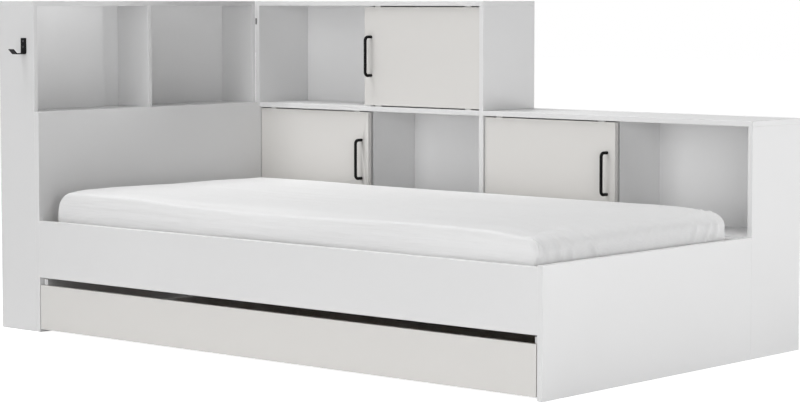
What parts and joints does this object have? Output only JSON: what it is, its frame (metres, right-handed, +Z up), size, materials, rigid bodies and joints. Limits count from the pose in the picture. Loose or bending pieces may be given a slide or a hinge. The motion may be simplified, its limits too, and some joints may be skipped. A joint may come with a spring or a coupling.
{
  "type": "bookcase headboard bed",
  "caption": "Single bed with a bookcase headboard, a two-level side bookcase with sliding doors, a mattress and a full-length drawer on castors.",
  "frame": {"origin": "on the floor at the centre of the whole piece's outer box", "axes": "+X from the headboard to the foot, -Y the open front side of the bed, +Z up"},
  "size_m": [2.205, 1.31, 1.05],
  "materials": {
    "white_board": "satin white melamine-faced chipboard",
    "grey_board": "satin warm grey melamine-faced chipboard",
    "back_sheet": "white faced hardboard",
    "bare_wood": "planed pine, no finish",
    "black_metal": "matt black powder coat",
    "zinc_steel": "zinc plated",
    "screw_steel": "zinc plated",
    "white_plastic": "moulded nylon",
    "dark_plastic": "moulded cover cap",
    "castor_plastic": "moulded nylon wheel",
    "mattress_fabric": "white cotton cover",
    "felt": "pressed felt"
  },
  "bodies": {
    "root": {"headboard_front_side": "white_board", "headboard_rear_side": "white_board", "headboard_top": "white_board", "headboard_shelf": "white_board", "headboard_bottom": "white_board", "headboard_divider": "white_board", "headboard_panel": "white_board", "bookcase_left_side": "white_board", "bookcase_middle_upright": "white_board", "bookcase_right_end": "white_board", "bookcase_upper_top": "white_board", "bookcase_middle_board": "white_board", "bookcase_lower_top": "white_board", "bookcase_left_floor": "white_board", "bookcase_right_floor": "white_board", "upper_partition": "white_board", "lower_left_partition": "white_board", "lower_right_partition": "white_board", "bookcase_left_plinth": "white_board", "bookcase_right_plinth": "white_board", "front_rail": "white_board", "rear_rail": "white_board", "footboard": "white_board", "headboard_back": "back_sheet", "bookcase_left_back": "back_sheet", "bookcase_right_back": "back_sheet", "front_slat_ledge": "bare_wood", "rear_slat_ledge": "bare_wood", "slats": "bare_wood", "mattress": "mattress_fabric", "coat_hook": "black_metal", "coat_hook_screws": "screw_steel", "cam_locks": "zinc_steel", "cam_bolts": "zinc_steel", "connector_cap": "dark_plastic"},
    "upper_door": {"upper_door": "grey_board", "upper_door_handle": "black_metal", "upper_door_glides": "white_plastic", "upper_door_screws": "screw_steel"},
    "lower_left_door": {"lower_left_door": "grey_board", "lower_left_door_handle": "black_metal", "lower_left_door_glides": "white_plastic", "lower_left_door_screws": "screw_steel"},
    "lower_right_door": {"lower_right_door": "grey_board", "lower_right_door_handle": "black_metal", "lower_right_door_glides": "white_plastic", "lower_right_door_screws": "screw_steel"},
    "drawer": {"drawer_front": "grey_board", "drawer_left_side": "white_board", "drawer_right_side": "white_board", "drawer_back": "white_board", "drawer_bottom": "white_board", "drawer_batten": "white_board", "drawer_bumpers": "felt", "castor_brackets": "zinc_steel"},
    "castor_wheel_front_left": {"castor_wheel_front_left": "castor_plastic"},
    "castor_wheel_front_right": {"castor_wheel_front_right": "castor_plastic"},
    "castor_wheel_rear_left": {"castor_wheel_rear_left": "castor_plastic"},
    "castor_wheel_rear_right": {"castor_wheel_rear_right": "castor_plastic"}
  },
  "joints": [
    {"name": "upper_door_slide", "type": "slide", "parent": "root", "child": "upper_door", "axis": [-1, 0, 0], "range_m": [0, 0.483]},
    {"name": "lower_left_door_slide", "type": "slide", "parent": "root", "child": "lower_left_door", "axis": [1, 0, 0], "range_m": [0, 0.483]},
    {"name": "lower_right_door_slide", "type": "slide", "parent": "root", "child": "lower_right_door", "axis": [1, 0, 0], "range_m": [0, 0.483]},
    {"name": "drawer_slide", "type": "slide", "parent": "root", "child": "drawer", "axis": [0, -1, 0], "range_m": [0, 0.9]},
    {"name": "castor_wheel_front_left_spin", "type": "hinge", "parent": "drawer", "child": "castor_wheel_front_left", "pos_m": [-0.776, -0.47599, 0.02], "axis": [1, 0, 0], "range_deg": [0, 2579]},
    {"name": "castor_wheel_front_right_spin", "type": "hinge", "parent": "drawer", "child": "castor_wheel_front_right", "pos_m": [0.945, -0.47599, 0.02], "axis": [1, 0, 0], "range_deg": [0, 2579]},
    {"name": "castor_wheel_rear_left_spin", "type": "hinge", "parent": "drawer", "child": "castor_wheel_rear_left", "pos_m": [-0.776, 0.25771, 0.02], "axis": [1, 0, 0], "range_deg": [0, 2579]},
    {"name": "castor_wheel_rear_right_spin", "type": "hinge", "parent": "drawer", "child": "castor_wheel_rear_right", "pos_m": [0.945, 0.25771, 0.02], "axis": [1, 0, 0], "range_deg": [0, 2579]}
  ],
  "couplings": [
    {"joint": "castor_wheel_front_left_spin", "follows": "drawer_slide", "rad_per_m": 50},
    {"joint": "castor_wheel_front_right_spin", "follows": "drawer_slide", "rad_per_m": 50},
    {"joint": "castor_wheel_rear_left_spin", "follows": "drawer_slide", "rad_per_m": 50},
    {"joint": "castor_wheel_rear_right_spin", "follows": "drawer_slide", "rad_per_m": 50}
  ]
}
